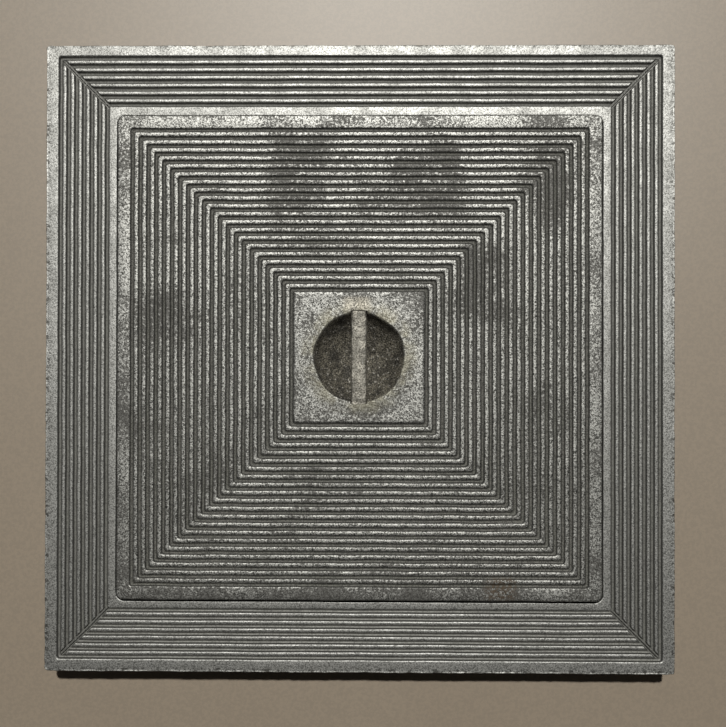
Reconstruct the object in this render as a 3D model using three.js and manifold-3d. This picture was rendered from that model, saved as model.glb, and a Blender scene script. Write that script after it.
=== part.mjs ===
// Cast aluminium floor drain cover: a square frame with a ribbed flange and an anchored skirt,
// and a lift-out lid with a finger cup and a grip bar, which rests on a rubber seal strip.
// Millimetres, +Z up. The origin is the centre of the frame's base, and the grip bar runs along Y.
import * as THREE from 'three';
import { mergeVertices } from 'three/addons/utils/BufferGeometryUtils.js';
import Module from 'manifold-3d';

// Frame casting
const FRAME_WIDTH = 300;
const FRAME_HEIGHT = 20;
const FRAME_CORNER = 1.5;
const FLANGE_THICKNESS = 6;
const EDGE_BEVEL = 1;
const EDGE_BEVEL_DROP = 2;
const SKIRT_WIDTH = 244;
const SKIRT_WALL = 4;
const SKIRT_CORNER = 8;
const SEAT_DEPTH = 5;
const SEAT_THICKNESS = 4;
const SEAT_OPENING = 216;
const SEAT_CORNER = 4;

// Anchor lugs under the flange, which key the frame into the mortar
const LUG_REACH = 16;
const LUG_THICKNESS = 5;
const LUG_FOOT = 3;
const LUG_TOE = 2;
const LUG_OFFSET = 60;

// Lid casting
const LID_WIDTH = 229.6;
const LID_CORNER = 3.3;
const LID_GAP = 1;
const LID_RIM_THICKNESS = 6;
const LID_PLATE_THICKNESS = 5;
const LID_BEVEL = 0.7;
const STIFFENER_DEPTH = 5.5;
const STIFFENER_WALL = 3.5;
const STIFFENER_RING_WIDTH = 204;
const STIFFENING_RIBS = 8;

// Finger cup in the middle of the lid
const CUP_RADIUS = 21.15;
const CUP_DEPTH = 14;
const CUP_WALL = 3.5;
const BOSS_RADIUS = 28;
const BOSS_THICKNESS = 8;

// Grip bar across the finger cup
const BAR_WIDTH = 7.4;
const BAR_LENGTH = 46;
const BAR_THICKNESS = 5;
const BAR_EDGE = 0.6;
const BAR_SEAM = 0.3;

// Seal strip between the seat and the lid
const SEAL_THICKNESS = 2.5;
const SEAL_WIDTH = 6.4;

// Anti-slip grooves: concentric squares, counted inward from the outer edge of the outermost one
const FRAME_GROOVES = { count: 7, pitch: 3.71, outer: 144, opening: 2.3, floor: 1.1, depth: 1.3, corner: 0 };
const LID_GROOVES = { count: 21, pitch: 3.78, outer: 108.5, opening: 2.05, floor: 1.2, depth: 1.1, corner: 1.2 };

// Mitre on each diagonal of the flange: a channel across the ribs with a thin ridge along its middle
const MITRE_CHANNEL = 2.2;
const MITRE_CHANNEL_DEPTH = 1.4;
const MITRE_CHANNEL_INSET = 0.3;
const MITRE_RIDGE = 0.5;
const MITRE_RIDGE_DROP = 0.1;

const CORNER_STEPS = 2;
const ROUND_STEPS = 32;
const ARC_STEPS = 6;
const OVERLAP = 0.5;
const MERGE_TOLERANCE = 1e-4;

const wasm = await Module();
wasm.setup();

// Drops the triangles that collapse where a section touches the axis or a corner is sharp.
function withoutSlivers(index) {
  const kept = [];
  for (let i = 0; i < index.length; i += 3) {
    const [a, b, c] = index.subarray(i, i + 3);
    if (a !== b && b !== c && c !== a) kept.push(a, b, c);
  }
  return new Uint32Array(kept);
}

function toSolid(geometry) {
  const bare = geometry.clone();
  bare.deleteAttribute('normal');
  bare.deleteAttribute('uv');
  const merged = mergeVertices(bare, MERGE_TOLERANCE);
  const vertProperties = new Float32Array(merged.getAttribute('position').array);
  const triVerts = withoutSlivers(new Uint32Array(merged.index.array));
  return new wasm.Manifold(new wasm.Mesh({ numProp: 3, vertProperties, triVerts }));
}

function toGeometry(solid) {
  const { vertProperties, triVerts } = solid.getMesh();
  const geometry = new THREE.BufferGeometry();
  geometry.setAttribute('position', new THREE.BufferAttribute(vertProperties, 3));
  geometry.setIndex(new THREE.BufferAttribute(triVerts, 1));
  geometry.computeVertexNormals();
  return geometry;
}

// A point of a section that is swept round a square: half the square's width, height, and the
// plan radius of the square's corners there.
const at = (half, height, corner = 0) => ({ half, height, corner });

// Sweeps a section round a square. The section runs anticlockwise: outward along its underside,
// up its outside and inward along its top.
function sweepSquare(section) {
  const columns = 4 * (CORNER_STEPS + 1);
  const outline = section.map(({ half, height }) => new THREE.Vector2(half, height));
  const geometry = new THREE.LatheGeometry(outline, columns);
  const position = geometry.getAttribute('position');
  for (let i = 0; i < position.count; i += 1) {
    const { half, height, corner } = section[i % section.length];
    const column = Math.floor(i / section.length) % columns;
    const quarter = Math.floor(column / (CORNER_STEPS + 1));
    const step = column % (CORNER_STEPS + 1);
    const side = new THREE.Vector2(1, 1).rotateAround(new THREE.Vector2(), quarter * Math.PI / 2).round();
    const turn = (quarter + step / CORNER_STEPS) * Math.PI / 2;
    const x = side.x * (half - corner) + corner * Math.cos(turn);
    const y = side.y * (half - corner) + corner * Math.sin(turn);
    position.setXYZ(i, x, y, height);
  }
  return toSolid(geometry);
}

// The points of a band of grooves in a face at the given height, from the outside inward.
function grooveSection({ count, pitch, outer, opening, floor, depth, corner }, height) {
  const slope = (opening - floor) / 2;
  const points = [];
  for (let i = 0; i < count; i += 1) {
    const edge = outer - i * pitch;
    points.push(at(edge, height, corner));
    points.push(at(edge - slope, height - depth, corner));
    points.push(at(edge - opening + slope, height - depth, corner));
    points.push(at(edge - opening, height, corner));
  }
  return points;
}

// A box on the X axis with its middle at x and its bottom and top at the given heights, turned about Z.
function bar(length, width, bottom, top, x = 0, turn = 0) {
  const geometry = new THREE.BoxGeometry(length, width, top - bottom);
  geometry.translate(x, 0, (top + bottom) / 2);
  geometry.rotateZ(turn);
  return toSolid(geometry);
}

// Turns a section of THREE.Vector2(radius, height) about Z.
function turnRound(outline) {
  const geometry = new THREE.LatheGeometry(outline, ROUND_STEPS);
  geometry.rotateX(Math.PI / 2);
  return toSolid(geometry);
}

// Frame: the flange, the well wall with its seat, and the skirt below them
function frameSection() {
  const outside = FRAME_WIDTH / 2;
  const underside = FRAME_HEIGHT - FLANGE_THICKNESS;
  const skirt = SKIRT_WIDTH / 2;
  const well = LID_WIDTH / 2 + LID_GAP;
  const wellCorner = LID_CORNER + LID_GAP;
  const seatTop = FRAME_HEIGHT - SEAT_DEPTH;
  const seatBottom = seatTop - SEAT_THICKNESS;
  const section = [
    at(skirt - SKIRT_WALL, 0, SKIRT_CORNER - SKIRT_WALL),
    at(skirt, 0, SKIRT_CORNER),
    at(skirt, underside, SKIRT_CORNER),
    at(outside, underside, FRAME_CORNER),
    at(outside, FRAME_HEIGHT - EDGE_BEVEL_DROP, FRAME_CORNER),
    at(outside - EDGE_BEVEL, FRAME_HEIGHT, FRAME_CORNER),
    ...grooveSection(FRAME_GROOVES, FRAME_HEIGHT),
    at(well, FRAME_HEIGHT, wellCorner),
    at(well, seatTop, wellCorner),
    at(SEAT_OPENING / 2, seatTop, SEAT_CORNER),
    at(SEAT_OPENING / 2, seatBottom, SEAT_CORNER),
    at(skirt - SKIRT_WALL, seatBottom, SKIRT_CORNER - SKIRT_WALL),
  ];
  return [...section, section[0]];
}

// One lug on the +X side: a tapered web between the skirt and the flange.
function anchorLug(offset) {
  const root = SKIRT_WIDTH / 2 - OVERLAP;
  const tip = SKIRT_WIDTH / 2 + LUG_REACH;
  const underside = FRAME_HEIGHT - FLANGE_THICKNESS;
  const web = new THREE.Shape();
  web.moveTo(root, LUG_FOOT);
  web.lineTo(root + LUG_TOE, LUG_FOOT);
  web.lineTo(tip, underside - LUG_TOE);
  web.lineTo(tip, underside + OVERLAP);
  web.lineTo(root, underside + OVERLAP);
  web.closePath();
  const geometry = new THREE.ExtrudeGeometry(web, { depth: LUG_THICKNESS, bevelEnabled: false });
  geometry.rotateX(Math.PI / 2);
  geometry.translate(0, offset + LUG_THICKNESS / 2, 0);
  return toSolid(geometry);
}

// A bar that stands between two heights along the +X +Y diagonal, from one ring of the flange to another.
function diagonalBar(fromHalf, toHalf, width, bottom, top) {
  const start = fromHalf * Math.SQRT2;
  const end = toHalf * Math.SQRT2;
  return bar(end - start, width, bottom, top, (start + end) / 2, Math.PI / 4);
}

// The channel starts and ends in the floors of the innermost and outermost grooves.
function mitreChannel() {
  const { count, pitch, outer, opening, floor } = FRAME_GROOVES;
  const slope = (opening - floor) / 2;
  const from = outer - (count - 1) * pitch - opening + slope + MITRE_CHANNEL_INSET;
  const to = outer - slope - floor + MITRE_CHANNEL_INSET;
  const bottom = FRAME_HEIGHT - MITRE_CHANNEL_DEPTH;
  return diagonalBar(from, to, MITRE_CHANNEL, bottom, FRAME_HEIGHT + OVERLAP);
}

// The ridge runs on into the plain margins on both sides of the grooves.
function mitreRidge() {
  const { count, pitch, outer, opening } = FRAME_GROOVES;
  const from = outer - (count - 1) * pitch - opening - OVERLAP;
  const bottom = FRAME_HEIGHT - MITRE_CHANNEL_DEPTH - OVERLAP;
  return diagonalBar(from, outer + OVERLAP, MITRE_RIDGE, bottom, FRAME_HEIGHT - MITRE_RIDGE_DROP);
}

function buildFrame() {
  const channel = mitreChannel();
  const ridge = mitreRidge();
  let frame = sweepSquare(frameSection());
  for (let side = 0; side < 4; side += 1) {
    const turn = [0, 0, side * 90];
    frame = frame.subtract(channel.rotate(turn)).add(ridge.rotate(turn));
    for (const offset of [-LUG_OFFSET, LUG_OFFSET]) {
      frame = frame.add(anchorLug(offset).rotate(turn));
    }
  }
  return toGeometry(frame);
}

// Lid: heights are counted from the face that rests on the seal
function lidSection() {
  const outside = LID_WIDTH / 2;
  const ring = STIFFENER_RING_WIDTH / 2;
  const plateBottom = LID_RIM_THICKNESS - LID_PLATE_THICKNESS;
  const ringBottom = plateBottom - STIFFENER_DEPTH;
  return [
    at(0, plateBottom),
    at(ring - STIFFENER_WALL, plateBottom, LID_CORNER),
    at(ring - STIFFENER_WALL, ringBottom, LID_CORNER),
    at(ring, ringBottom, LID_CORNER),
    at(ring, 0, LID_CORNER),
    at(outside, 0, LID_CORNER),
    at(outside, LID_RIM_THICKNESS - LID_BEVEL, LID_CORNER),
    at(outside - LID_BEVEL, LID_RIM_THICKNESS, LID_CORNER - LID_BEVEL),
    ...grooveSection(LID_GROOVES, LID_RIM_THICKNESS),
    at(0, LID_RIM_THICKNESS),
  ];
}

// The bowl's inside is part of a sphere that meets the lid's top at the cup's radius.
const BOWL_RADIUS = (CUP_RADIUS ** 2 + CUP_DEPTH ** 2) / (2 * CUP_DEPTH);
const BOWL_CENTRE = LID_RIM_THICKNESS - CUP_DEPTH + BOWL_RADIUS;

// The arc of a bowl from its lowest point up to the given height, as radius and height.
function bowlArc(radius, top) {
  const sweep = Math.acos((BOWL_CENTRE - top) / radius);
  const arc = new THREE.Path();
  arc.absarc(0, BOWL_CENTRE, radius, -Math.PI / 2, sweep - Math.PI / 2);
  const points = arc.getPoints(ARC_STEPS);
  points[0].x = 0;
  return points;
}

function cupShell() {
  const bossBottom = LID_RIM_THICKNESS - BOSS_THICKNESS;
  return turnRound([
    ...bowlArc(BOWL_RADIUS + CUP_WALL, bossBottom),
    new THREE.Vector2(BOSS_RADIUS, bossBottom),
    new THREE.Vector2(BOSS_RADIUS, LID_RIM_THICKNESS - LID_PLATE_THICKNESS + OVERLAP),
    new THREE.Vector2(0, LID_RIM_THICKNESS - LID_PLATE_THICKNESS + OVERLAP),
  ]);
}

function cupHollow() {
  return turnRound([
    ...bowlArc(BOWL_RADIUS, LID_RIM_THICKNESS),
    new THREE.Vector2(CUP_RADIUS, LID_RIM_THICKNESS + OVERLAP),
    new THREE.Vector2(0, LID_RIM_THICKNESS + OVERLAP),
  ]);
}

function buildLid() {
  const plateBottom = LID_RIM_THICKNESS - LID_PLATE_THICKNESS;
  const ringInside = STIFFENER_RING_WIDTH / 2 - STIFFENER_WALL / 2;
  const seam = 2 * BAR_SEAM;
  const notchFloor = LID_RIM_THICKNESS - BAR_THICKNESS - BAR_SEAM;
  let lid = sweepSquare(lidSection()).add(cupShell());
  for (let side = 0; side < STIFFENING_RIBS; side += 1) {
    const reach = side % 2 ? ringInside * Math.SQRT2 : ringInside;
    const length = reach - CUP_RADIUS + CUP_WALL;
    const rib = bar(
      length, STIFFENER_WALL, plateBottom - STIFFENER_DEPTH + OVERLAP, plateBottom + OVERLAP,
      reach - length / 2, side * 2 * Math.PI / STIFFENING_RIBS,
    );
    lid = lid.add(rib);
  }
  lid = lid.subtract(cupHollow());
  lid = lid.subtract(bar(BAR_WIDTH + seam, BAR_LENGTH + seam, notchFloor, LID_RIM_THICKNESS + OVERLAP));
  return toGeometry(lid);
}

// Grip bar: a flat bar with eased edges, which lies in the notch across the cup
function buildGripBar() {
  const x = BAR_WIDTH / 2;
  const y = BAR_LENGTH / 2;
  const plan = new THREE.Shape();
  plan.moveTo(-x, -y);
  plan.lineTo(x, -y);
  plan.lineTo(x, y);
  plan.lineTo(-x, y);
  plan.closePath();
  return new THREE.ExtrudeGeometry(plan, {
    depth: BAR_THICKNESS - 2 * BAR_EDGE,
    bevelThickness: BAR_EDGE,
    bevelSize: BAR_EDGE,
    bevelOffset: -BAR_EDGE,
    bevelSegments: 2,
  }).translate(0, 0, BAR_EDGE);
}

function buildSeal() {
  const outside = LID_WIDTH / 2;
  const inside = outside - SEAL_WIDTH;
  const section = [
    at(inside, 0, LID_CORNER),
    at(outside, 0, LID_CORNER),
    at(outside, SEAL_THICKNESS, LID_CORNER),
    at(inside, SEAL_THICKNESS, LID_CORNER),
  ];
  return toGeometry(sweepSquare([...section, section[0]]));
}

function part(name, geometry, color, roughness, metalness) {
  const mesh = new THREE.Mesh(geometry, new THREE.MeshStandardMaterial({ color, roughness, metalness }));
  mesh.name = name;
  return mesh;
}

const cover = new THREE.Group();
cover.add(part('frame', buildFrame(), 0xb9b9b4, 0.35, 1));

const seal = part('seal_strip', buildSeal(), 0x1d1d1c, 0.8, 0);
seal.position.z = FRAME_HEIGHT - SEAT_DEPTH;
cover.add(seal);

const lift = new THREE.Group();
lift.position.z = FRAME_HEIGHT - SEAT_DEPTH + SEAL_THICKNESS;
lift.add(part('lid', buildLid(), 0xa3a29c, 0.45, 1));
const gripBar = part('grip_bar', buildGripBar(), 0xa8a69e, 0.5, 1);
gripBar.position.z = LID_RIM_THICKNESS - BAR_THICKNESS;
lift.add(gripBar);
cover.add(lift);

export default cover;
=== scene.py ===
"""Looks of the cast aluminium floor drain cover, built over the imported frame.

Shapes are worked out in millimetres, with heights above the floor, and become metres when a mesh is made.
The frame and the lid are sections swept round a square: a row of a section is one square ring, half is
half that ring's width, and the columns are the lines that cross all the rings.
"""
import math

import bpy
import numpy as np
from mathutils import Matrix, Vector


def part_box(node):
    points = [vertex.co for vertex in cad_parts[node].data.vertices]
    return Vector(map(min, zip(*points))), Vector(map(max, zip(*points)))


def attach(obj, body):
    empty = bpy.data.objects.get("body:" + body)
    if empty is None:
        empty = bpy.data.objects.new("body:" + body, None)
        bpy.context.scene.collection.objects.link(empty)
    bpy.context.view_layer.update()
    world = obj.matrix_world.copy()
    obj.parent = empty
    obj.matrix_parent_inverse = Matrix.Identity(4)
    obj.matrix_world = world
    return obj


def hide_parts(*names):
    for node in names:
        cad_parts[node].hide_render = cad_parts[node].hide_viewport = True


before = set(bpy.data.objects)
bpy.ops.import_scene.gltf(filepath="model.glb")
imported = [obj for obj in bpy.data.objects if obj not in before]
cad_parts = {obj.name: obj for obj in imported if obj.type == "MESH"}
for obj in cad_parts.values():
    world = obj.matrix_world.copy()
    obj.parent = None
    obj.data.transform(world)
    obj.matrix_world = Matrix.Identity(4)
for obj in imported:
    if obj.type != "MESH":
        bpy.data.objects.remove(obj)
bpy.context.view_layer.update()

MM = 0.001
QUARTER = math.pi / 2


def box_mm(node):
    low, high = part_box(node)
    return np.array(low) / MM, np.array(high) / MM


_, FRAME_HIGH = box_mm("frame")
_, LID_HIGH = box_mm("lid")
SEAL_LOW, SEAL_HIGH = box_mm("seal_strip")
BAR_LOW, BAR_HIGH = box_mm("grip_bar")

# Frame casting
FRAME_TOP = FRAME_HIGH[2]
FRAME_HALF = FRAME_HIGH[0]
FLANGE_THICKNESS = 6.0
FLANGE_UNDERSIDE = FRAME_TOP - FLANGE_THICKNESS
FRAME_CORNER = 1.5
EDGE_BEVEL = 0.35
EDGE_BEVEL_DROP = 1.2
BURR_WIDTH = 0.7
SKIRT_OUTSIDE = 122.0
SKIRT_INSIDE = 118.0
SKIRT_CORNER = 8.0
SEAT_TOP = SEAL_LOW[2]
SEAT_THICKNESS = 4.0
SEAT_BOTTOM = SEAT_TOP - SEAT_THICKNESS
SEAT_INSIDE = 108.0
SEAT_CORNER = 4.0
LUG_OFFSET = 60.0
LUG_HALF = 2.5
LUG_FOOT = 3.0
LUG_REACH = 16.0
LUG_TOE = 2.0
# Shares of the way from a lug's foot to its tip at which its sloping side begins and ends
LUG_SLOPE = (0.12, 0.92)

# Lid casting
LID_TOP = LID_HIGH[2]
LID_HALF = LID_HIGH[0]
LID_REST = SEAL_HIGH[2]
LID_CORNER = 3.3
LID_BEVEL = 0.7
LID_GAP = 1.0
PLATE_THICKNESS = 5.0
PLATE_UNDERSIDE = LID_TOP - PLATE_THICKNESS
RIB_HEIGHT = 5.5
RIB_BOTTOM = PLATE_UNDERSIDE - RIB_HEIGHT
RIB_HALF = 1.75
RING_OUTSIDE = 102.0
RING_INSIDE = 98.5
CUP_RADIUS = 21.15
CUP_DEPTH = 14.0
CUP_WALL = 3.5
BOSS_RADIUS = 28.0
BOSS_DEPTH = 8.0
BOSS_BOTTOM = LID_TOP - BOSS_DEPTH

# Grip bar and its notch. Its ends reach a little past the CAD's, into the lid's metal.
BAR_HALF = BAR_HIGH[0]
BAR_END = BAR_HIGH[1]
BAR_SEAM = 0.04
BAR_CLEARANCE = 0.3
BAR_BURIED = 0.24
NOTCH_FLOOR = BAR_LOW[2] - BAR_CLEARANCE
# The lid's metal closes over the bar's ends just outside the cup
NOTCH_END = CUP_RADIUS + 0.7

# Seal: its width, and how deep the dip between its two lips is
SEAL_WIDTH = 6.4
SEAL_DIP = 0.45

# Grooves: how many squares, their pitch, the outermost one's outer edge, and their width and depth
FRAME_GROOVES = dict(count=7, pitch=3.71, outer=144.0, opening=2.3, floor=0.9, depth=1.3, corner=0.0)
LID_GROOVES = dict(count=21, pitch=3.78, outer=108.5, opening=2.05, floor=1.2, depth=1.1, corner=1.2)

# Corner radii of the outermost groove, from its outer edge inward
BAND_CORNERS = (1.3, 1.0, 0.7, 0.4)

# Mitre on the flange's diagonals. It starts just inside the outermost groove. The channel's and the
# ridge's walls slope over the widths given.
MITRE_START = FRAME_GROOVES["outer"] - FRAME_GROOVES["opening"] + 0.3
MITRE_CHANNEL_HALF = 0.95
MITRE_CHANNEL_DEPTH = 1.4
MITRE_CHANNEL_WALL = 0.22
MITRE_RIDGE_HALF = 0.12
MITRE_RIDGE_WALL = 0.1
MITRE_RIDGE_DROP = 0.3

# Patches of the lid: where the middle is in X and Y, and half the size in X and Y
# The two patches at Y 90 are painted highlights: there the lamp's reflection is painted as paler, less
# tarnished metal. The other two have less tarnish.
WIPED_AND_HIGHLIGHT_PATCHES = [(-55, 90, 12, 40), (64, 90, 14, 42), (-88, 44, 30, 12), (-85, 105, 24, 10)]
STAINED = [(-28, 88, 20, 26), (32, 84, 24, 26), (-95, 20, 22, 16), (60, 35, 18, 24), (90, 80, 10, 30)]
RUST_SPOT = (67, -109, 10, 7)
# A pale spot just beyond the bar's +Y end is a painted highlight.
PAINTED_HIGHLIGHT_SPOT = (-1, 25.6, 9, 4)

# The casting's +Y edge was fettled back a little further than the others
TRIMMED_EDGE = 0.9

# The well lies this far toward -Y under the lid, so its gap is closed at +Y and open at -Y
WELL_SHIFT = 0.4


# ---------------------------------------------------------------- shapes

# Sines added up for one field of waves, and about how high they reach together
SINES = 14
CREST = 4


def waves(x, y, length, seed):
    """Smooth random waves over the plan, roughly -1 to 1, with crests about length apart."""
    source = np.random.default_rng(seed)
    total = np.zeros(np.shape(x))
    for _ in range(SINES):
        turn = source.uniform(0, math.pi)
        pace = 2 * math.pi / (length * source.uniform(0.6, 1.7))
        shift = source.uniform(0, 2 * math.pi)
        total += np.sin(pace * (x * math.cos(turn) + y * math.sin(turn)) + shift)
    return total / CREST


class Columns:
    """Where the columns cross one side of a square ring.

    Near the side's middle they keep their distance from it (middles), near the corner they keep their
    distance from the corner (corners), and in between they spread out evenly (spread of them).
    """

    # On round rings below this radius the columns close up in proportion
    FULL_RADIUS = 15.0

    def __init__(self, middles, corners, spread):
        middles = np.array(sorted(middles))
        corners = np.array(sorted(corners, reverse=True))
        part = np.arange(1, spread + 1) / (spread + 1)
        last, first = middles[-1], corners[0]
        start = np.concatenate([middles, last - part * (last + first), -corners])
        slope = np.concatenate([0 * middles, part, 0 * corners + 1])
        near = np.concatenate([middles, np.full(spread, np.nan), np.full(len(corners), np.nan)])
        far = np.concatenate([np.full(len(middles) + spread, np.nan), corners])
        share = np.concatenate([0 * middles, part, 0 * corners])
        self.sign = np.concatenate([-np.ones(len(start) - 1), np.ones(len(start) - 1)])
        self.start, self.slope, self.near, self.far, self.share = (
            np.concatenate([values[:0:-1], values[:-1]]) for values in (start, slope, near, far, share)
        )
        self.last, self.first = last, first
        self.count = len(self.sign)

    def along(self, half):
        return self.sign * (self.start + self.slope * half)

    def square(self, half, corner):
        """Points of a square ring on the +X side, with corners rounded to the radius given."""
        s = self.along(half)
        x = np.full(self.count, float(half))
        centre = half - corner
        beyond = np.abs(s) - centre
        turned = (beyond > 0) & (corner > 0)
        reach = np.hypot(corner, np.where(turned, beyond, 0)) + 1e-9
        x = np.where(turned, centre + corner * corner / reach, x)
        y = np.where(turned, np.sign(s) * (centre + corner * beyond / reach), s)
        return x, y

    def round(self, radius):
        """Points of a round ring in the +X quarter. The columns keep their distances on it too."""
        shrink = min(1.0, radius / self.FULL_RADIUS)

        def angle(distance):
            return np.arcsin(np.clip(distance * shrink / max(radius, 1e-6), -0.99, 0.99))

        diagonal = math.pi / 4
        edge = angle(self.last)
        end = diagonal - angle(self.first / math.sqrt(2))
        turn = edge + self.share * (end - edge)
        turn = np.where(np.isnan(self.near), turn, angle(np.nan_to_num(self.near)))
        turn = np.where(np.isnan(self.far), turn, diagonal - angle(np.nan_to_num(self.far) / math.sqrt(2)))
        turn = self.sign * turn
        return radius * np.cos(turn), radius * np.sin(turn)


class Sweep:
    """The points of a section swept round a square: x, y and z, each one row per ring."""

    def __init__(self, section, columns):
        rows = []
        for half, _, corner, roundness in section:
            x, y = columns.square(half, corner)
            if roundness > 0:
                round_x, round_y = columns.round(half)
                x = x + (round_x - x) * roundness
                y = y + (round_y - y) * roundness
            rows.append((x, y))
        side_x = np.array([row[0] for row in rows])
        side_y = np.array([row[1] for row in rows])
        self.x = np.hstack([side_x, -side_y, -side_x, side_y])
        self.y = np.hstack([side_y, side_x, -side_y, -side_x])
        self.z = np.repeat(np.array([[row[1]] for row in section]), self.x.shape[1], axis=1)
        self.s = np.tile(side_y, 4)
        self.out = np.tile(side_x, 4)
        self.half = np.repeat(np.array([[row[0]] for row in section]), self.x.shape[1], axis=1)

    def mesh(self, name, closed):
        """Closed sections make a ring. Others begin and end in a point on the axis."""
        rows, columns = self.x.shape
        points = np.stack([self.x, self.y, self.z], axis=2)
        here = np.arange(rows * columns).reshape(rows, columns)
        beside = np.roll(here, -1, axis=1)
        if closed:
            above, across = np.roll(here, -1, axis=0), np.roll(beside, -1, axis=0)
            faces = np.stack([here, beside, across, above], axis=2).reshape(-1, 4).tolist()
            points = points.reshape(-1, 3)
        else:
            inner = np.stack([here[:-1], beside[:-1], beside[1:], here[1:]], axis=2)
            faces = inner.reshape(-1, 4).tolist()
            start, end = rows * columns, rows * columns + 1
            faces += [[start, b, a] for a, b in zip(here[0], beside[0])]
            faces += [[end, a, b] for a, b in zip(here[-1], beside[-1])]
            poles = [points[0].mean(axis=0), points[-1].mean(axis=0)]
            points = np.vstack([points.reshape(-1, 3), poles])
        return make_object(name, points, faces)


def weighted_normals(mesh):
    """Vertex normals that lean to the larger faces, so flats stay flat beside their eased edges."""
    points = np.zeros(len(mesh.vertices) * 3)
    mesh.vertices.foreach_get("co", points)
    points = points.reshape(-1, 3)
    normals = np.zeros_like(points)
    sides = np.zeros(len(mesh.polygons), int)
    starts = np.zeros(len(mesh.polygons), int)
    mesh.polygons.foreach_get("loop_total", sides)
    mesh.polygons.foreach_get("loop_start", starts)
    corners = np.zeros(len(mesh.loops), int)
    mesh.loops.foreach_get("vertex_index", corners)
    for count in (3, 4):
        faces = corners[starts[sides == count][:, None] + np.arange(count)]
        first = points[faces[:, 2]] - points[faces[:, 0]]
        second = points[faces[:, -1]] - points[faces[:, 1]]
        area = np.cross(first, second)
        for corner in range(count):
            np.add.at(normals, faces[:, corner], area)
    normals /= np.maximum(np.linalg.norm(normals, axis=1), 1e-20)[:, None]
    return normals


def make_object(name, points, faces):
    mesh = bpy.data.meshes.new(name)
    mesh.from_pydata((np.asarray(points) * MM).tolist(), [], faces)
    mesh.validate()
    mesh.shade_smooth()
    mesh.normals_split_custom_set_from_vertices(weighted_normals(mesh).tolist())
    piece = bpy.data.objects.new(name, mesh)
    bpy.context.scene.collection.objects.link(piece)
    return piece


# A rounded corner takes at most this share of each side that meets in it
LARGEST_CUT = 0.48


def eased(section, steps, closed=False):
    """Rounds each corner of a section.

    A point is (half, height, corner, roundness, ease): half the width of the square ring, its height, the
    radius of the square's corners, 0 for a square and 1 for a round ring, and how far from the point the
    rounding starts.
    """
    points = [np.array(point[:4], float) for point in section]
    rows = []
    for i, (point, ease) in enumerate(zip(points, (entry[4] for entry in section))):
        ends = [points[(i + step) % len(points)] for step in (-1, 1)]
        if ease == 0 or (not closed and i in (0, len(points) - 1)):
            rows.append(point)
            continue
        cuts = []
        for end in ends:
            length = math.hypot(end[0] - point[0], end[1] - point[1])
            cuts.append(point + (end - point) * min(ease / max(length, 1e-6), LARGEST_CUT))
        for t in np.linspace(0, 1, steps):
            rows.append(cuts[0] * (1 - t) ** 2 + point * 2 * t * (1 - t) + cuts[1] * t ** 2)
    return rows


def divided(rows, longest, closed=False):
    """Adds rows between rows that lie further apart than longest."""
    result = []
    following = rows[1:] + (rows[:1] if closed else [])
    for row, after in zip(rows, following):
        gap = math.hypot(after[0] - row[0], after[1] - row[1])
        pieces = max(1, math.ceil(gap / longest))
        result += [row + (after - row) * i / pieces for i in range(pieces)]
    return result if closed else result + [rows[-1]]


def band_inside(grooves):
    """Half the width of the square inside a band of grooves."""
    return grooves["outer"] - (grooves["count"] - 1) * grooves["pitch"] - grooves["opening"]


def groove_points(grooves, top, edge_ease, floor_ease):
    """The corners of a band of grooves, from the outside inward."""
    slope = (grooves["opening"] - grooves["floor"]) / 2
    floor = top - grooves["depth"]
    corner = grooves["corner"]
    points = []
    for i in range(grooves["count"]):
        edge = grooves["outer"] - i * grooves["pitch"]
        points.append((edge, top, corner, 0, edge_ease))
        points.append((edge - slope, floor, corner, 0, floor_ease))
        points.append((edge - grooves["opening"] + slope, floor, corner, 0, floor_ease))
        points.append((edge - grooves["opening"], top, corner, 0, edge_ease))
    return points


# ---------------------------------------------------------------- frame

def frame_section():
    well = LID_HALF + LID_GAP
    well_corner = LID_CORNER + LID_GAP
    inner_corner = SKIRT_CORNER - SKIRT_OUTSIDE + SKIRT_INSIDE
    underneath = [
        (SKIRT_INSIDE, 0, inner_corner, 0, 0.6),
        (SKIRT_OUTSIDE, 0, SKIRT_CORNER, 0, 0.6),
        (SKIRT_OUTSIDE, FLANGE_UNDERSIDE, SKIRT_CORNER, 0, 1.2),
        (FRAME_HALF, FLANGE_UNDERSIDE, FRAME_CORNER, 0, 0.5),
        (FRAME_HALF, FRAME_TOP - EDGE_BEVEL_DROP, FRAME_CORNER, 0, 0.4),
        (FRAME_HALF - EDGE_BEVEL, FRAME_TOP, FRAME_CORNER, 0, 0.2),
        (FRAME_HALF - EDGE_BEVEL - BURR_WIDTH, FRAME_TOP, FRAME_CORNER, 0, 0.2),
    ]
    inside = [
        (well, FRAME_TOP, well_corner, 0, 0.25),
        (well, SEAT_TOP, well_corner, 0, 0.8),
        (SEAT_INSIDE, SEAT_TOP, SEAT_CORNER, 0, 0.6),
        (SEAT_INSIDE, SEAT_BOTTOM, SEAT_CORNER, 0, 0.6),
        (SKIRT_INSIDE, SEAT_BOTTOM, inner_corner, 0, 0.8),
    ]
    grooves = groove_points(FRAME_GROOVES, FRAME_TOP, edge_ease=0.36, floor_ease=0.5)
    for i, corner in enumerate(BAND_CORNERS):
        edge, height, _, *rest = grooves[i]
        grooves[i] = (edge, height, corner, *rest)
    rows = eased(underneath + grooves + inside, steps=3, closed=True)
    return divided(rows, longest=2.6, closed=True)


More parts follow.
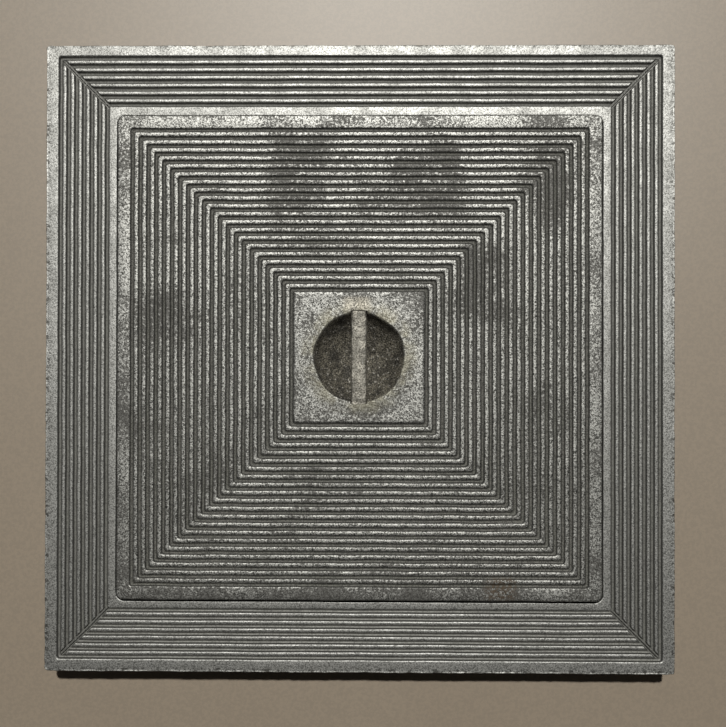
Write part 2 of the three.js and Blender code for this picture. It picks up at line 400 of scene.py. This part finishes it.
def cut_mitre(sweep):
    """Cuts the channel across the ribs on each diagonal, and leaves the thin ridge in it."""
    banded = (sweep.half < MITRE_START) & (sweep.half > band_inside(FRAME_GROOVES) + 0.4)
    banded &= sweep.z > FRAME_TOP - FRAME_GROOVES["depth"] - 0.2
    away = (sweep.half - np.abs(sweep.s)) / math.sqrt(2)
    wall = np.clip((away - MITRE_CHANNEL_HALF) / MITRE_CHANNEL_WALL, 0, 1)
    channel = FRAME_TOP - MITRE_CHANNEL_DEPTH * (1 - wall)
    cut = np.minimum(sweep.z, channel)
    drop = np.clip((away - MITRE_RIDGE_HALF) / MITRE_RIDGE_WALL, 0, 1)
    ridge = FRAME_TOP - MITRE_RIDGE_DROP - MITRE_CHANNEL_DEPTH * drop
    sweep.z = np.where(banded, np.maximum(cut, ridge), sweep.z)


def raise_lugs(sweep):
    """Pulls the flange's underside and the skirt down and out into the tapered anchor lugs."""
    under = (sweep.half > SKIRT_OUTSIDE - 0.01) & (sweep.half < SKIRT_OUTSIDE + LUG_REACH)
    under &= (sweep.z > LUG_FOOT) & (sweep.z < FLANGE_UNDERSIDE + 0.01)
    at_lug = np.abs(np.abs(sweep.s) - LUG_OFFSET) < LUG_HALF + 0.02
    foot = SKIRT_OUTSIDE + LUG_TOE
    tip = SKIRT_OUTSIDE + LUG_REACH
    toe_height = FLANGE_UNDERSIDE - LUG_TOE
    # How far along its way from the foot to the tip a point lies, first up the skirt, then out
    way = (sweep.z - LUG_FOOT) + (sweep.half - SKIRT_OUTSIDE)
    share = np.clip(way / (FLANGE_UNDERSIDE - LUG_FOOT + LUG_REACH), 0, 1)
    turns = [0, *LUG_SLOPE, 1]
    out = np.interp(share, turns, [SKIRT_OUTSIDE, foot, tip, tip])
    height = np.interp(share, turns, [LUG_FOOT, LUG_FOOT, toe_height, FLANGE_UNDERSIDE])
    picked = under & at_lug
    push = np.where(picked, out - sweep.out, 0)
    across = np.abs(sweep.x) > np.abs(sweep.y)
    sweep.x += np.where(across, np.sign(sweep.x) * push, 0)
    sweep.y += np.where(across, 0, np.sign(sweep.y) * push)
    sweep.z = np.where(picked, height, sweep.z)


def roughen_frame(sweep):
    """Gives the casting its slightly wavy ribs, uneven heights and ragged outer arris."""
    x, y = sweep.x.copy(), sweep.y.copy()
    # the ribs wander a little
    top = sweep.z > FRAME_TOP - 3
    sweep.x += top * 0.06 * waves(x, y, 24, 1)
    sweep.y += top * 0.06 * waves(x, y, 24, 2)
    # the top is uneven, and lowered so that it stays below the CAD's
    on_top = np.clip(sweep.z - (FRAME_TOP - 2.5), 0, 1)
    sweep.z += on_top * (0.015 * waves(x, y, 7, 3) + 0.05 * waves(x, y, 60, 4) - 0.1)
    # a burr stands up along the outer arris
    burr = np.clip((sweep.half - (FRAME_HALF - EDGE_BEVEL - BURR_WIDTH)) / BURR_WIDTH, 0, 1) * on_top
    sweep.z += burr * (0.1 + 0.09 * waves(x, y, 6, 8) + 0.05 * waves(x, y, 2.6, 9))
    # the well's wall lies a little to one side
    wall = (sweep.half > LID_HALF) & (sweep.half < LID_HALF + LID_GAP + 0.3) & (sweep.z > SEAT_TOP + 1)
    sweep.y -= np.where(wall, WELL_SHIFT, 0)
    # the flange's outline is ragged, and trimmed at +Y
    rim = np.clip((sweep.half - (FRAME_HALF - 1.6)) / 1.4, 0, 1) * np.clip(sweep.z - FLANGE_UNDERSIDE, 0, 1)
    ragged = 0.1 * waves(x, y, 4, 5) + 0.08 * waves(x, y, 14, 6) - 0.18
    trimmed = np.where(y > FRAME_HALF - 2, TRIMMED_EDGE, 0)
    sweep.x *= 1 + rim * ragged / FRAME_HALF
    sweep.y *= 1 + rim * (ragged - trimmed) / FRAME_HALF
    # the faces underneath are uneven too, all but the skirt's base
    below = (sweep.z < FLANGE_UNDERSIDE + 0.5) & (sweep.z > 1)
    sweep.z += np.where(below, 0.08 * waves(x, y, 12, 7), 0)


def frame_columns():
    lug_edges = [LUG_OFFSET + side * edge for side in (-1, 1) for edge in (LUG_HALF, LUG_HALF + 0.25)]
    middles = sorted(set(np.linspace(0, 66, 34).tolist() + lug_edges))
    corners = [0, 0.18, 0.35, 0.5, 0.9, 1.35, 1.56, 1.7, 1.87, 2.1, 2.6, 3.4, 4.4, 5.6, 7, 8.6]
    return Columns(middles, corners, spread=28)


def build_frame():
    sweep = Sweep(frame_section(), frame_columns())
    cut_mitre(sweep)
    raise_lugs(sweep)
    roughen_frame(sweep)
    return sweep.mesh("cast_frame", closed=True)


# ---------------------------------------------------------------- lid

BOWL_RADIUS = (CUP_RADIUS ** 2 + CUP_DEPTH ** 2) / (2 * CUP_DEPTH)
BOWL_CENTRE = LID_TOP - CUP_DEPTH + BOWL_RADIUS


def bowl_points(radius, top, count, least):
    """The arc of a bowl up to the height top, from the distance least off its lowest point."""
    widest = math.sqrt(radius ** 2 - (BOWL_CENTRE - top) ** 2)
    angles = np.linspace(math.asin(least / radius), math.asin(widest / radius), count)
    return [(radius * math.sin(a), BOWL_CENTRE - radius * math.cos(a), 0, 1, 0) for a in angles]


def closing_in(square_half, round_radius, height, corner, count):
    """Level rows that turn from a square ring into a round one."""
    rows = []
    for share in np.linspace(0, 1, count):
        half = square_half + (round_radius - square_half) * share
        rows.append((half, height, corner * (1 - share), share ** 0.8, 0))
    return rows


def lid_underside():
    cup = bowl_points(BOWL_RADIUS + CUP_WALL, BOSS_BOTTOM, count=16, least=0.4)
    boss = [
        (BOSS_RADIUS - 2, BOSS_BOTTOM, 0, 1, 0),
        (BOSS_RADIUS, BOSS_BOTTOM, 0, 1, 0.8),
        (BOSS_RADIUS, PLATE_UNDERSIDE, 0, 1, 0.8),
    ]
    square_until = 44
    plate = closing_in(square_until, BOSS_RADIUS + 2, PLATE_UNDERSIDE, LID_CORNER, count=8)[::-1]
    ring = [
        (RING_INSIDE, PLATE_UNDERSIDE, LID_CORNER, 0, 1.0),
        (RING_INSIDE, RIB_BOTTOM, LID_CORNER, 0, 0.5),
        (RING_OUTSIDE, RIB_BOTTOM, LID_CORNER, 0, 0.5),
        (RING_OUTSIDE, LID_REST, LID_CORNER, 0, 0.8),
        (LID_HALF, LID_REST, LID_CORNER, 0, 0.4),
    ]
    return cup + boss + plate + ring


def lid_upper_side():
    rim = [
        (LID_HALF, LID_TOP - LID_BEVEL, LID_CORNER, 0, 0.3),
        (LID_HALF - LID_BEVEL, LID_TOP, LID_CORNER - LID_BEVEL, 0, 0.3),
    ]
    return rim + groove_points(LID_GROOVES, LID_TOP, edge_ease=0.27, floor_ease=0.45)


def lid_middle():
    level = closing_in(band_inside(LID_GROOVES) - 0.9, BAR_END + 1.6, LID_TOP, corner=0.6, count=9)
    around_notch = [(NOTCH_END + step, LID_TOP, 0, 1, 0) for step in (1.2, 0.6, 0.25, 0)]
    # how far outside the cup's radius, and how far below the top
    worn_arris = [(0.55, 0.02), (0.28, 0.1), (0.05, 0.3)]
    rim = [(CUP_RADIUS + away, LID_TOP - drop, 0, 1, 0) for away, drop in worn_arris]
    bowl = bowl_points(BOWL_RADIUS, LID_TOP - 0.7, count=30, least=0.3)[::-1]
    return level + around_notch + rim + bowl


def lid_section():
    outside = divided(eased(lid_underside() + lid_upper_side(), steps=2), longest=4.5)
    return outside + divided(eased(lid_middle(), steps=2), longest=3.0)


def raise_ribs(sweep, lower):
    """Stiffening ribs under the plate, along both axes and both diagonals."""
    from_diagonal = np.abs(np.abs(sweep.x) - np.abs(sweep.y)) / math.sqrt(2)
    on_rib = (np.abs(sweep.s) < RIB_HALF + 0.02) | (from_diagonal < RIB_HALF + 0.02)
    under = lower & (sweep.z < PLATE_UNDERSIDE + 0.01) & (sweep.half < RING_INSIDE + 0.6)
    sweep.z = np.where(on_rib & under, np.minimum(sweep.z, RIB_BOTTOM), sweep.z)


def cut_notch(sweep, upper):
    """Sinks the seat of the grip bar into the cup's rim on both sides."""
    in_notch = (np.abs(sweep.x) < BAR_HALF + BAR_SEAM + 0.01) & (sweep.half < NOTCH_END + 0.01)
    in_notch &= upper & (sweep.z > NOTCH_FLOOR)
    sweep.z = np.where(in_notch, NOTCH_FLOOR, sweep.z)


def roughen_lid(sweep, upper):
    """Gives the casting uneven ribs and faces, a lumpy cup with an irregular edge and worn arrises."""
    x, y = sweep.x.copy(), sweep.y.copy()
    radius = np.hypot(x, y)
    # the ribs wander, and the top is uneven and lowered so that it stays below the CAD's
    top = upper & (sweep.half > CUP_RADIUS + 4)
    sweep.x += top * 0.07 * waves(x, y, 22, 11)
    sweep.y += top * 0.07 * waves(x, y, 22, 12)
    sweep.z += top * (0.025 * waves(x, y, 7, 13) + 0.05 * waves(x, y, 50, 14) - 0.12)
    # the cup's edge is out of round, except beside the bar
    rim = np.clip(1 - np.abs(radius - CUP_RADIUS) / 5, 0, 1) * upper
    clear = np.clip((np.abs(x) - BAR_HALF - 1) / 2, 0, 1)
    swell = 0.28 * waves(x, y, 17, 15) + 0.07 * waves(x, y, 4, 16)
    sweep.x += rim * clear * swell * x / np.maximum(radius, 1)
    sweep.y += rim * clear * swell * y / np.maximum(radius, 1)
    # lumps grow with the depth in the cup
    inside = upper & (radius < CUP_RADIUS)
    depth = np.clip((LID_TOP - sweep.z) / 4, 0, 1)
    sweep.z += inside * depth * clear * (0.35 * waves(x, y, 9, 17) + 0.16 * waves(x, y, 3.2, 18))
    # the ground round the cup is worn hollow
    halo = upper & (radius >= CUP_RADIUS) & (sweep.half < CUP_RADIUS + 7) & (sweep.z > LID_TOP - 1)
    sweep.z += halo * (0.03 * waves(x, y, 9, 19) - 0.04)


def lid_columns():
    middles = [0, 0.9, RIB_HALF, RIB_HALF + 0.22, 2.9, BAR_HALF + BAR_SEAM, BAR_HALF + BAR_SEAM + 0.14]
    rib_edge = RIB_HALF * math.sqrt(2)
    corners = [0, 0.45, 0.9, 1.3, 1.9, rib_edge, rib_edge + 0.3, 3.4, 4.2]
    return Columns(middles, corners, spread=27)


def build_lid():
    section = lid_section()
    sweep = Sweep(section, lid_columns())
    # the rows run from the middle of the underside to the edge and back over the top
    turning = next(i for i, row in enumerate(section) if row[0] > LID_HALF - 0.5)
    upper = np.arange(len(section))[:, None] > turning + 1
    upper = np.repeat(upper, sweep.x.shape[1], axis=1)
    raise_ribs(sweep, ~upper)
    cut_notch(sweep, upper)
    roughen_lid(sweep, upper)
    return sweep.mesh("cast_lid", closed=False)


# ---------------------------------------------------------------- grip bar and seal

def build_bar():
    """A cast bar with eased edges and ends rounded in plan, a little uneven in width and height."""
    stations = np.linspace(-1, 1, 64)
    turns = np.linspace(0, 2 * math.pi, 40, endpoint=False)
    reach = BAR_END + BAR_BURIED
    middle = (BAR_LOW[2] + BAR_HIGH[2]) / 2
    # it is a little smaller than the CAD's bar, to leave room for its bumps
    broad = BAR_HALF - 0.04
    tall = (BAR_HIGH[2] - BAR_LOW[2]) / 2 - 0.12
    # a power of 1 makes an oval section, a lower one a squarer section
    power = 0.32
    across = np.sign(np.cos(turns)) * np.abs(np.cos(turns)) ** power
    up = np.sign(np.sin(turns)) * np.abs(np.sin(turns)) ** power
    # the ends ease off over this length
    end_length = 0.5
    rows = []
    for station in stations:
        y = reach * math.sin(station * QUARTER)
        close = (max(0.0, abs(y) - (reach - end_length)) / end_length) ** 3
        wide = broad * math.sqrt(max(0.0, 1 - 0.3 * close))
        high = tall * (1 - 0.12 * close)
        rows.append(np.stack([wide * across, np.full(len(turns), y), middle + high * up], axis=1))
    points = np.array(rows)
    x, y = points[..., 0].copy(), points[..., 1].copy()
    upper = points[..., 2] > middle
    points[..., 0] += 0.08 * waves(y, points[..., 2] * 3, 7, 21) + 0.05 * waves(y * 1.3, x, 2.5, 22)
    points[..., 2] += upper * (0.1 * waves(x * 2, y, 6, 23) + 0.07 * waves(x, y, 2.2, 24) - 0.12)
    count = len(turns)
    faces = []
    for row in range(len(rows) - 1):
        for i in range(count):
            j = (i + 1) % count
            faces.append([row * count + i, (row + 1) * count + i, (row + 1) * count + j, row * count + j])
    faces.append(list(range(count)))
    faces.append(list(range((len(rows) - 1) * count, len(rows) * count))[::-1])
    return make_object("cast_bar", points.reshape(-1, 3), faces)


def build_seal():
    """A rubber strip with two sealing lips on top, pressed down by the lid."""
    outside = SEAL_HIGH[0]
    inside = outside - SEAL_WIDTH
    low, high = SEAL_LOW[2], SEAL_HIGH[2]
    dip = high - SEAL_DIP
    lips = [(outside - 0.5, high), (outside - 1.9, high), (outside - 2.5, dip),
            (outside - 3.9, dip), (outside - 4.5, high), (inside + 0.5, high)]
    points = [(inside + 0.3, low), (outside - 0.2, low), (outside, low + 0.5), *lips, (inside, low + 0.5)]
    section = eased([(half, height, LID_CORNER, 0, 0.25) for half, height in points], steps=3, closed=True)
    columns = Columns(np.linspace(0, 60, 16), [0, 0.8, 1.6, 2.4, 3.3, 4.5, 6], spread=12)
    return Sweep(section, columns).mesh("rubber_seal", closed=True)


# ---------------------------------------------------------------- material nodes

# Each noise is taken from another part of space, this far from the next one's
NOISE_STEP = 0.053


class Nodes:
    """A material's node tree, with short calls for the nodes used here."""

    def __init__(self, name):
        self.material = bpy.data.materials.new(name)
        self.material.use_nodes = True
        self.tree = self.material.node_tree
        self.tree.nodes.clear()
        output = self.tree.nodes.new("ShaderNodeOutputMaterial")
        self.shader = self.tree.nodes.new("ShaderNodeBsdfPrincipled")
        self.tree.links.new(self.shader.outputs["BSDF"], output.inputs["Surface"])
        self.place = self.tree.nodes.new("ShaderNodeTexCoord").outputs["Object"]

    def put(self, socket, value):
        if isinstance(value, bpy.types.NodeSocket):
            self.tree.links.new(value, socket)
        else:
            socket.default_value = value

    def noise(self, size, detail, rough, seed):
        """Cloud noise, 0 to 1, with features about size millimetres across. Each seed gives another one."""
        shift = seed * NOISE_STEP
        place = self.tree.nodes.new("ShaderNodeMapping")
        place.inputs["Location"].default_value = (shift, shift * 0.7, shift * 0.3)
        self.put(place.inputs["Vector"], self.place)
        node = self.tree.nodes.new("ShaderNodeTexNoise")
        self.put(node.inputs["Vector"], place.outputs["Vector"])
        node.inputs["Scale"].default_value = 1 / (size * MM)
        node.inputs["Detail"].default_value = detail
        node.inputs["Roughness"].default_value = rough
        return node.outputs["Fac"]

    def fade(self, value, low, high, start=0.0, end=1.0):
        """Maps low to high onto start to end, smoothly and clamped."""
        node = self.tree.nodes.new("ShaderNodeMapRange")
        node.interpolation_type = "SMOOTHSTEP"
        self.put(node.inputs["Value"], value)
        node.inputs["From Min"].default_value = low
        node.inputs["From Max"].default_value = high
        node.inputs["To Min"].default_value = start
        node.inputs["To Max"].default_value = end
        return node.outputs["Result"]

    def math(self, operation, first, second=0.0):
        node = self.tree.nodes.new("ShaderNodeMath")
        node.operation = operation
        self.put(node.inputs[0], first)
        self.put(node.inputs[1], second)
        return node.outputs["Value"]

    def times(self, first, second):
        return self.math("MULTIPLY", first, second)

    def plus(self, first, second):
        return self.math("ADD", first, second)

    def either(self, first, second):
        return self.math("MAXIMUM", first, second)

    def mix(self, share, first, second):
        """A colour between first and second."""
        node = self.tree.nodes.new("ShaderNodeMix")
        node.data_type = "RGBA"
        self.put(node.inputs[0], share)
        self.put(node.inputs[6], first)
        self.put(node.inputs[7], second)
        return node.outputs[2]

    def axis(self, name):
        node = self.tree.nodes.new("ShaderNodeSeparateXYZ")
        self.put(node.inputs["Vector"], self.place)
        return node.outputs[name]

    def upward(self):
        """1 on faces that look up, 0 on the underside."""
        split = self.tree.nodes.new("ShaderNodeSeparateXYZ")
        self.put(split.inputs["Vector"], self.tree.nodes.new("ShaderNodeNewGeometry").outputs["Normal"])
        return self.fade(split.outputs["Z"], -0.1, 0.1)

    def from_axis(self):
        """Distance from the Z axis."""
        x, y = self.axis("X"), self.axis("Y")
        return self.math("SQRT", self.plus(self.times(x, x), self.times(y, y)))

    def ring(self):
        """Half the width of the square ring that a point lies on."""
        return self.either(self.math("ABSOLUTE", self.axis("X")), self.math("ABSOLUTE", self.axis("Y")))

    def bump(self, height, depth, strength=1.0, over=None):
        """Bump from a height of 0 to 1, depth millimetres deep."""
        node = self.tree.nodes.new("ShaderNodeBump")
        node.inputs["Strength"].default_value = strength
        node.inputs["Distance"].default_value = depth * MM
        self.put(node.inputs["Height"], height)
        if over is not None:
            self.put(node.inputs["Normal"], over)
        return node.outputs["Normal"]

    def set(self, **values):
        for name, value in values.items():
            self.put(self.shader.inputs[name.replace("_", " ")], value)


def color(red, green, blue):
    return (red, green, blue, 1.0)


def groove_dust_and_shade(nodes, top, depth):
    """How far a point is in a groove at all, and how much of the dark dirt and painted shade on the
    groove's walls it has.
    """
    height = nodes.axis("Z")
    inside = nodes.fade(height, (top - 0.4) * MM, (top - 0.6) * MM)
    wall = nodes.times(inside, nodes.fade(height, (top - depth + 0.02) * MM, (top - depth + 0.3) * MM))
    return inside, wall


def frame_metal():
    nodes = Nodes("cast_frame_metal")
    dust, walls = groove_dust_and_shade(nodes, FRAME_TOP, FRAME_GROOVES["depth"])
    grain = nodes.noise(0.6, 3.0, 0.75, 1)
    blotch = nodes.noise(9.0, 4.0, 0.6, 2)
    speck = nodes.noise(1.0, 3.0, 0.65, 3)
    pits = nodes.fade(speck, 0.38, 0.32)
    bright, dull, shade = color(0.82, 0.82, 0.79), color(0.68, 0.68, 0.65), color(0.17, 0.17, 0.16)
    metal = nodes.mix(nodes.fade(blotch, 0.35, 0.65), bright, dull)
    metal = nodes.mix(nodes.fade(grain, 0.43, 0.53), nodes.mix(0.75, metal, shade), metal)

    # dark pits all over, and chips along the outer edge
    edge = nodes.fade(nodes.ring(), (FRAME_HALF - 3.4) * MM, (FRAME_HALF - 1.2) * MM)
    chips = nodes.times(edge, nodes.fade(nodes.noise(2.0, 3.0, 0.7, 5), 0.52, 0.6))
    metal = nodes.mix(nodes.times(nodes.either(pits, chips), 0.8), metal, color(0.09, 0.085, 0.075))

    # oxide on the grooves' floors, and dirt and painted shade on their walls
    grey, greenish, dark = color(0.28, 0.27, 0.26), color(0.38, 0.385, 0.34), color(0.12, 0.12, 0.11)
    oxide = nodes.mix(nodes.noise(14.0, 2.0, 0.5, 4), grey, greenish)
    oxide = nodes.mix(nodes.fade(grain, 0.4, 0.55), nodes.mix(0.6, oxide, dark), oxide)
    surface = nodes.mix(nodes.times(dust, 0.92), metal, oxide)
    nodes.set(Base_Color=nodes.mix(nodes.times(walls, 0.85), surface, color(0.06, 0.058, 0.054)))
    nodes.set(Roughness=nodes.fade(blotch, 0.3, 0.7, 0.5, 0.58))
    nodes.set(Metallic=nodes.fade(dust, 0.0, 1.0, 1.0, 0.3))
    fine = nodes.bump(grain, 0.08, 0.7)
    nodes.set(Normal=nodes.bump(speck, 0.14, 0.6, fine))
    return nodes.material


def patch(nodes, x, y, wide, tall):
    """1 in a soft patch of the lid, 0 outside it. Millimetres."""
    across = nodes.math("ABSOLUTE", nodes.plus(nodes.axis("X"), -x * MM))
    along = nodes.math("ABSOLUTE", nodes.plus(nodes.axis("Y"), -y * MM))
    inside = nodes.fade(across, wide * MM, wide * 0.4 * MM)
    return nodes.times(inside, nodes.fade(along, tall * MM, tall * 0.5 * MM))


def lid_metal():
    nodes = Nodes("cast_lid_metal")
    height = nodes.axis("Z")
    radius = nodes.from_axis()
    dust, walls = groove_dust_and_shade(nodes, LID_TOP, LID_GROOVES["depth"])
    grain = nodes.noise(0.6, 3.0, 0.75, 11)
    mottle = nodes.noise(1.4, 4.0, 0.75, 12)
    cloud = nodes.noise(26.0, 3.0, 0.6, 13)
    patches = nodes.noise(7.0, 3.0, 0.6, 15)

    # tarnish comes in clouds and specks, less in the lighter patches, two of which are painted highlights,
    # more where water stood
    stain_minus_highlights = nodes.plus(mottle, nodes.times(nodes.plus(cloud, -0.5), 0.7))
    for spot in WIPED_AND_HIGHLIGHT_PATCHES:
        stain_minus_highlights = nodes.plus(stain_minus_highlights, nodes.times(patch(nodes, *spot), -0.2))
    for spot in STAINED:
        stain_minus_highlights = nodes.plus(stain_minus_highlights, nodes.times(patch(nodes, *spot), 0.15))
    # and a little less on the ribs than on the plain margin and middle
    ring = nodes.ring()
    band_start, band_end = 31.0, LID_GROOVES["outer"]
    within = nodes.fade(ring, (band_start - 0.5) * MM, (band_start + 0.5) * MM)
    ribbed = nodes.times(within, nodes.fade(ring, (band_end + 0.5) * MM, (band_end - 0.5) * MM))
    stain_minus_highlights = nodes.plus(stain_minus_highlights, nodes.times(ribbed, -0.08))
    tarnish_minus_highlights = nodes.fade(stain_minus_highlights, 0.45, 0.56)
    shade, bright = color(0.1, 0.1, 0.092), color(0.86, 0.86, 0.82)
    metal = nodes.mix(nodes.fade(grain, 0.44, 0.54), shade, bright)
    metal = nodes.mix(nodes.times(tarnish_minus_highlights, 0.78), metal, color(0.13, 0.125, 0.115))

    # oxide on the grooves' floors, and dirt and painted shade on their walls
    grey, greenish, dark = color(0.2, 0.185, 0.175), color(0.34, 0.345, 0.3), color(0.05, 0.05, 0.045)
    oxide = nodes.mix(cloud, grey, greenish)
    oxide = nodes.mix(nodes.fade(grain, 0.42, 0.55), nodes.mix(0.7, oxide, dark), oxide)
    surface = nodes.mix(nodes.times(dust, 0.92), metal, oxide)
    surface = nodes.mix(nodes.times(walls, 0.85), surface, color(0.025, 0.024, 0.022))

    # fingers rub a paler ring round the cup
    upward = nodes.upward()
    halo = nodes.times(nodes.fade(radius, 30.0 * MM, 23.0 * MM), nodes.fade(patches, 0.35, 0.6, 0.1, 0.8))
    halo = nodes.times(halo, upward)
    rubbed = nodes.mix(nodes.fade(grain, 0.42, 0.56), color(0.24, 0.22, 0.165), color(0.62, 0.6, 0.49))
    surface = nodes.mix(halo, surface, rubbed)
    # the pale spot beyond the bar's +Y end is a painted highlight
    highlight_spot = nodes.times(nodes.times(patch(nodes, *PAINTED_HIGHLIGHT_SPOT), upward), nodes.fade(grain, 0.42, 0.52))
    surface = nodes.mix(nodes.times(highlight_spot, 0.8), surface, color(0.84, 0.79, 0.68))
    rust = nodes.times(patch(nodes, *RUST_SPOT), nodes.fade(mottle, 0.42, 0.58))
    surface = nodes.mix(nodes.times(rust, 0.7), surface, color(0.17, 0.115, 0.07))

    # the cup's inside is crusted, with pale grit in it
    inside = nodes.fade(radius, (CUP_RADIUS + 1.2) * MM, (CUP_RADIUS + 0.7) * MM)
    inside = nodes.times(inside, upward)
    cup = nodes.times(inside, nodes.fade(height, (LID_TOP - 0.38) * MM, (LID_TOP - 0.55) * MM))
    crust = nodes.mix(nodes.fade(patches, 0.32, 0.68), color(0.13, 0.12, 0.1), color(0.42, 0.385, 0.305))
    crust = nodes.mix(nodes.fade(grain, 0.56, 0.46), crust, color(0.025, 0.023, 0.02))
    crust = nodes.mix(nodes.fade(mottle, 0.6, 0.64), crust, color(0.85, 0.82, 0.75))
    surface = nodes.mix(nodes.times(cup, 0.96), surface, crust)

    dull = nodes.either(nodes.either(nodes.times(cup, 0.85), dust), nodes.times(tarnish_minus_highlights, 0.45))
    nodes.set(Base_Color=surface, Metallic=nodes.fade(dull, 0.0, 1.0, 1.0, 0.25))
    nodes.set(Roughness=nodes.fade(dull, 0.0, 1.0, 0.53, 0.75))
    fine = nodes.bump(grain, 0.1, 0.7)
    nodes.set(Normal=nodes.bump(mottle, 0.25, 0.6, fine))
    return nodes.material


def bar_metal():
    nodes = Nodes("cast_bar_metal")
    grain = nodes.noise(0.7, 4.0, 0.75, 21)
    patches = nodes.noise(4.0, 3.0, 0.6, 22)
    rubbed, dull = color(0.88, 0.84, 0.74), color(0.36, 0.345, 0.3)
    pit, glint = color(0.13, 0.12, 0.1), color(0.88, 0.87, 0.82)
    surface = nodes.mix(nodes.fade(patches, 0.35, 0.65), rubbed, dull)
    surface = nodes.mix(nodes.fade(grain, 0.52, 0.42), surface, pit)
    surface = nodes.mix(nodes.fade(grain, 0.6, 0.66), surface, glint)
    nodes.set(Base_Color=surface, Metallic=nodes.fade(patches, 0.3, 0.7, 0.8, 0.45))
    nodes.set(Roughness=nodes.fade(grain, 0.3, 0.7, 0.45, 0.65))
    nodes.set(Normal=nodes.bump(grain, 0.2, 0.7))
    return nodes.material


def seal_rubber():
    nodes = Nodes("seal_rubber")
    grain = nodes.noise(0.7, 3.0, 0.6, 31)
    dust = nodes.fade(nodes.noise(6.0, 4.0, 0.6, 32), 0.5, 0.75)
    clean, dusty = color(0.018, 0.018, 0.017), color(0.12, 0.11, 0.095)
    nodes.set(Base_Color=nodes.mix(nodes.times(dust, 0.4), clean, dusty))
    nodes.set(Roughness=nodes.fade(grain, 0.3, 0.7, 0.6, 0.85))
    nodes.set(Normal=nodes.bump(grain, 0.06, 0.5))
    return nodes.material


def floor_finish():
    """Pale, slightly glossy tile."""
    nodes = Nodes("floor_finish")
    cloud = nodes.noise(60.0, 3.0, 0.5, 41)
    grain = nodes.noise(1.6, 3.0, 0.75, 42)
    beige, pale, speck = color(0.51, 0.41, 0.305), color(0.55, 0.45, 0.338), color(0.34, 0.285, 0.22)
    tone = nodes.mix(cloud, beige, pale)
    nodes.set(Base_Color=nodes.mix(nodes.fade(grain, 0.4, 0.6, 0.0, 0.3), tone, speck))
    nodes.set(Roughness=0.5, Specular_IOR_Level=1.0, IOR=1.7)
    nodes.set(Normal=nodes.bump(grain, 0.06, 0.5))
    return nodes.material


# ---------------------------------------------------------------- assembly

def dress(piece, material, body, node):
    piece.data.materials.append(material)
    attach(piece, body)
    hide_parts(node)


def build_pieces():
    dress(build_frame(), frame_metal(), "frame_body", "frame")
    dress(build_seal(), seal_rubber(), "frame_body", "seal_strip")
    dress(build_lid(), lid_metal(), "lid_body", "lid")
    dress(build_bar(), bar_metal(), "lid_body", "grip_bar")


# ---------------------------------------------------------------- studio

FLOOR_HALF = 3000.0

# Metres and watts. The lamp stands high up beyond the +Y side.
KEY_PLACE = (0.103, 2.663, 5.22)
KEY_SIZE = 0.245
KEY_POWER = 185.0
KEY_TINT = (1.0, 0.985, 0.94)

# Brightness of the room toward the walls and overhead
WALL_GLOW = 0.035
CEILING_GLOW = 0.006

# The photo was taken from right above, a little off square. Metres and degrees.
CAMERA_PLACE = (0.00692, -0.00519, 0.4483)
CAMERA_TURN = (0.316, 0.671, 0.124)
CAMERA_LENS = 44.63


def build_floor():
    size = FLOOR_HALF
    points = [(-size, -size, 0), (size, -size, 0), (size, size, 0), (-size, size, 0)]
    floor = make_object("floor", points, [[0, 1, 2, 3]])
    floor.data.materials.append(floor_finish())


def key_lamp():
    """One small round lamp, aimed at the middle of the cover."""
    light = bpy.data.lights.new("key", "AREA")
    light.shape = "DISK"
    light.size = KEY_SIZE
    light.energy = KEY_POWER
    light.color = KEY_TINT
    fixture = bpy.data.objects.new("key", light)
    fixture.location = KEY_PLACE
    aim = np.array([0, 0, FRAME_TOP * MM]) - np.array(KEY_PLACE)
    across = math.hypot(aim[0], aim[1])
    fixture.rotation_euler = (math.atan2(across, -aim[2]), 0, math.atan2(aim[1], aim[0]) - QUARTER)
    bpy.context.scene.collection.objects.link(fixture)


def room_light():
    """A dim room: almost dark overhead, lighter toward the walls."""
    world = bpy.data.worlds.new("room")
    bpy.context.scene.world = world
    world.use_nodes = True
    tree = world.node_tree
    background = tree.nodes["Background"]
    place = tree.nodes.new("ShaderNodeTexCoord")
    split = tree.nodes.new("ShaderNodeSeparateXYZ")
    tree.links.new(place.outputs["Generated"], split.inputs["Vector"])
    rise = tree.nodes.new("ShaderNodeMapRange")
    rise.interpolation_type = "SMOOTHSTEP"
    rise.inputs["From Min"].default_value = 0.25
    rise.inputs["From Max"].default_value = 0.85
    rise.inputs["To Min"].default_value = WALL_GLOW
    rise.inputs["To Max"].default_value = CEILING_GLOW
    tree.links.new(split.outputs["Z"], rise.inputs["Value"])
    tree.links.new(rise.outputs["Result"], background.inputs["Strength"])
    background.inputs["Color"].default_value = color(1.0, 0.98, 0.94)


def build_camera():
    camera = bpy.data.cameras.new("camera")
    camera.lens = CAMERA_LENS
    camera.sensor_width = 36.0
    camera.sensor_fit = "AUTO"
    viewer = bpy.data.objects.new("camera", camera)
    viewer.location = CAMERA_PLACE
    viewer.rotation_euler = [math.radians(turn) for turn in CAMERA_TURN]
    bpy.context.scene.collection.objects.link(viewer)
    bpy.context.scene.camera = viewer


build_pieces()
build_floor()
key_lamp()
room_light()
build_camera()
bpy.context.scene.view_settings.view_transform = "Standard"
